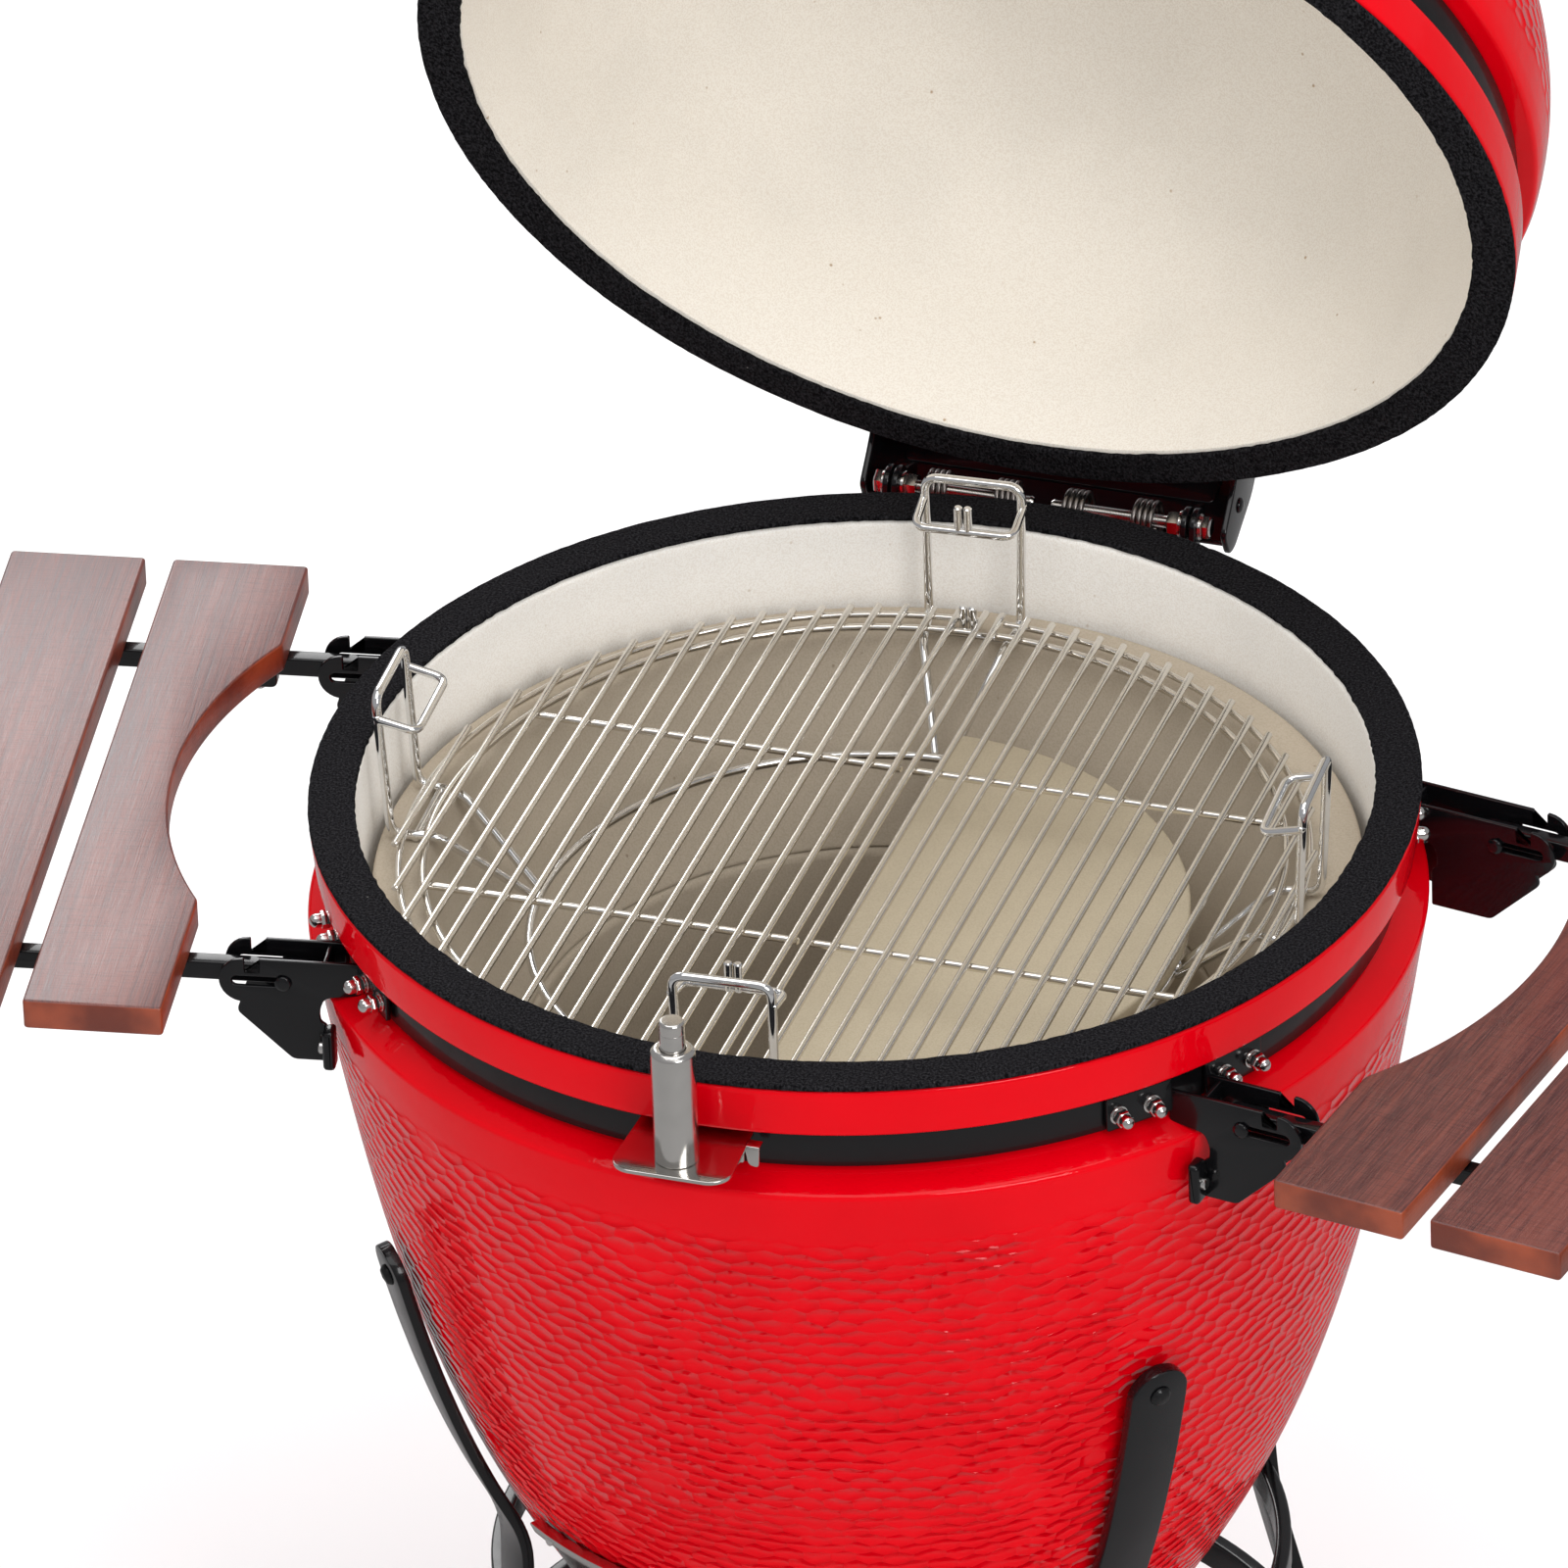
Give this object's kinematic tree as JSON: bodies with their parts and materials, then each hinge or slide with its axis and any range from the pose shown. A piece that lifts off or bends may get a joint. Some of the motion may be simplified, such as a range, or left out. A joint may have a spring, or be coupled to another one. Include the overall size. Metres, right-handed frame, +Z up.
{
  "type": "kamado ceramic grill",
  "caption": "Egg-shaped ceramic charcoal grill with a hinged domed lid, split cooking grates, a lift-out rack, folding slatted side shelves and a stand on casters.",
  "frame": {"origin": "centre of the ceramic base's flat foot, on the grill's vertical axis", "axes": "+Z up, +X to the grill's right hand side, -Y towards the front, where the handle and the draft door are"},
  "size_m": [1.4674, 0.9817, 1.6518],
  "materials": {
    "red_glaze": "gloss",
    "fire_stone": "matte",
    "black_felt": "matte",
    "black_steel": "gloss",
    "black_iron": "matte",
    "chrome_wire": "polished",
    "stainless": "satin",
    "stained_wood": "satin",
    "caster_rubber": "matte",
    "needle_red": "satin"
  },
  "bodies": {
    "base": {"base_shell": "red_glaze", "base_gasket": "black_felt", "lower_band": "black_steel", "firebox": "fire_stone", "fire_ring": "fire_stone", "charcoal_grate": "black_iron", "draft_frame": "stainless", "hinge_lower_bracket": "black_steel", "hinge_pin_left": "chrome_wire", "hinge_pin_right": "chrome_wire", "hinge_spring_left": "stainless", "hinge_spring_right": "stainless", "damper_plate": "stainless", "damper_tube": "stainless", "shelf_bracket_left_front": "black_steel", "shelf_bracket_left_rear": "black_steel", "shelf_bracket_right_front": "black_steel", "shelf_bracket_right_rear": "black_steel", "stand_frame": "black_steel"},
    "draft_door": {"draft_door": "stainless"},
    "damper_plunger": {"damper_plunger": "stainless"},
    "lid": {"lid_shell": "red_glaze", "lid_gasket": "black_felt", "upper_band": "black_steel", "hinge_upper_bracket": "black_steel", "handle_bracket": "black_steel", "handle_grip": "stained_wood", "thermometer_case": "stainless", "vent_collar": "black_iron"},
    "thermometer_needle": {"thermometer_needle": "needle_red"},
    "vent_disc": {"vent_disc": "black_iron"},
    "daisy_wheel": {"daisy_wheel": "black_iron"},
    "rack": {"cooking_rack": "chrome_wire"},
    "heat_deflector": {"heat_deflector": "fire_stone"},
    "grate_left": {"grate_left": "stainless"},
    "grate_right": {"grate_right": "stainless"},
    "shelf_pins_left": {"shelf_pin_left_front": "black_steel", "shelf_pin_left_rear": "black_steel"},
    "shelf_left": {"shelf_arm_left_front": "black_steel", "shelf_arm_left_rear": "black_steel", "shelf_plank_left_inner": "stained_wood", "shelf_plank_left_middle": "stained_wood", "shelf_plank_left_outer": "stained_wood"},
    "shelf_pins_right": {"shelf_pin_right_front": "black_steel", "shelf_pin_right_rear": "black_steel"},
    "shelf_right": {"shelf_arm_right_front": "black_steel", "shelf_arm_right_rear": "black_steel", "shelf_plank_right_inner": "stained_wood", "shelf_plank_right_middle": "stained_wood", "shelf_plank_right_outer": "stained_wood"},
    "fork_front_left": {"caster_fork_front_left": "stainless"},
    "wheel_front_left": {"caster_wheel_front_left": "caster_rubber"},
    "fork_front_right": {"caster_fork_front_right": "stainless"},
    "wheel_front_right": {"caster_wheel_front_right": "caster_rubber"},
    "fork_rear_right": {"caster_fork_rear_right": "stainless"},
    "wheel_rear_right": {"caster_wheel_rear_right": "caster_rubber"},
    "fork_rear_left": {"caster_fork_rear_left": "stainless"},
    "wheel_rear_left": {"caster_wheel_rear_left": "caster_rubber"}
  },
  "joints": [
    {"name": "lid_hinge", "type": "hinge", "parent": "base", "child": "lid", "pos_m": [0, 0.365, 0.5864], "axis": [-1, 0, 0], "range_deg": [-65.9, 9]},
    {"name": "draft_door_turn", "type": "hinge", "parent": "base", "child": "draft_door", "pos_m": [0, 0, 0.108], "axis": [0, 0, 1], "range_deg": [0, 24]},
    {"name": "damper_press", "type": "slide", "parent": "base", "child": "damper_plunger", "axis": [0, 0, 1], "range_m": [-0.012, 0]},
    {"name": "thermometer_needle_turn", "type": "hinge", "parent": "lid", "child": "thermometer_needle", "pos_m": [0, 0.31624, 1.28426], "axis": [0, 0.3063, 0.9519], "range_deg": [-120, 120]},
    {"name": "vent_swing", "type": "hinge", "parent": "lid", "child": "vent_disc", "pos_m": [0.058, 0.5598, 1.07339], "axis": [0, 0.9128, 0.4083], "range_deg": [0, 100]},
    {"name": "daisy_turn", "type": "hinge", "parent": "vent_disc", "child": "daisy_wheel", "pos_m": [0, 0.56464, 1.07556], "axis": [0, 0.9128, 0.4083], "range_deg": [0, 36]},
    {"name": "rack_lift", "type": "slide", "parent": "base", "child": "rack", "axis": [0, 0, 1], "range_m": [0, 0.12]},
    {"name": "heat_deflector_lift", "type": "slide", "parent": "rack", "child": "heat_deflector", "axis": [0, 0, 1], "range_m": [0, 0.012]},
    {"name": "grate_left_lift", "type": "slide", "parent": "rack", "child": "grate_left", "axis": [0, 0, 1], "range_m": [0, 0.055]},
    {"name": "grate_right_lift", "type": "slide", "parent": "rack", "child": "grate_right", "axis": [0, 0, 1], "range_m": [0, 0.055]},
    {"name": "shelf_right_pull", "type": "slide", "parent": "base", "child": "shelf_pins_right", "axis": [0.9866, -0.1633, 0], "range_m": [0, 0.029]},
    {"name": "shelf_right_fold", "type": "hinge", "parent": "shelf_pins_right", "child": "shelf_right", "pos_m": [0.33543, -0.05553, 0.5335], "axis": [0.1633, 0.9866, 0], "range_deg": [0, 90]},
    {"name": "shelf_left_pull", "type": "slide", "parent": "base", "child": "shelf_pins_left", "axis": [-0.9866, -0.1633, 0], "range_m": [0, 0.029]},
    {"name": "shelf_left_fold", "type": "hinge", "parent": "shelf_pins_left", "child": "shelf_left", "pos_m": [-0.33543, -0.05553, 0.5335], "axis": [0.1633, -0.9866, 0], "range_deg": [0, 90]},
    {"name": "caster_front_left_swivel", "type": "hinge", "parent": "base", "child": "fork_front_left", "pos_m": [-0.22981, -0.19284, -0.1868], "axis": [0, 0, 1], "continuous": true},
    {"name": "caster_front_left_roll", "type": "hinge", "parent": "fork_front_left", "child": "wheel_front_left", "pos_m": [-0.21143, -0.17741, -0.2575], "axis": [0.6428, -0.766, 0], "continuous": true},
    {"name": "caster_front_right_swivel", "type": "hinge", "parent": "base", "child": "fork_front_right", "pos_m": [0.22981, -0.19284, -0.1868], "axis": [0, 0, 1], "continuous": true},
    {"name": "caster_front_right_roll", "type": "hinge", "parent": "fork_front_right", "child": "wheel_front_right", "pos_m": [0.21143, -0.17741, -0.2575], "axis": [0.6428, 0.766, 0], "continuous": true},
    {"name": "caster_rear_right_swivel", "type": "hinge", "parent": "base", "child": "fork_rear_right", "pos_m": [0.22981, 0.19284, -0.1868], "axis": [0, 0, 1], "continuous": true},
    {"name": "caster_rear_right_roll", "type": "hinge", "parent": "fork_rear_right", "child": "wheel_rear_right", "pos_m": [0.21143, 0.17741, -0.2575], "axis": [-0.6428, 0.766, 0], "continuous": true},
    {"name": "caster_rear_left_swivel", "type": "hinge", "parent": "base", "child": "fork_rear_left", "pos_m": [-0.22981, 0.19284, -0.1868], "axis": [0, 0, 1], "continuous": true},
    {"name": "caster_rear_left_roll", "type": "hinge", "parent": "fork_rear_left", "child": "wheel_rear_left", "pos_m": [-0.21143, 0.17741, -0.2575], "axis": [-0.6428, -0.766, 0], "continuous": true}
  ]
}
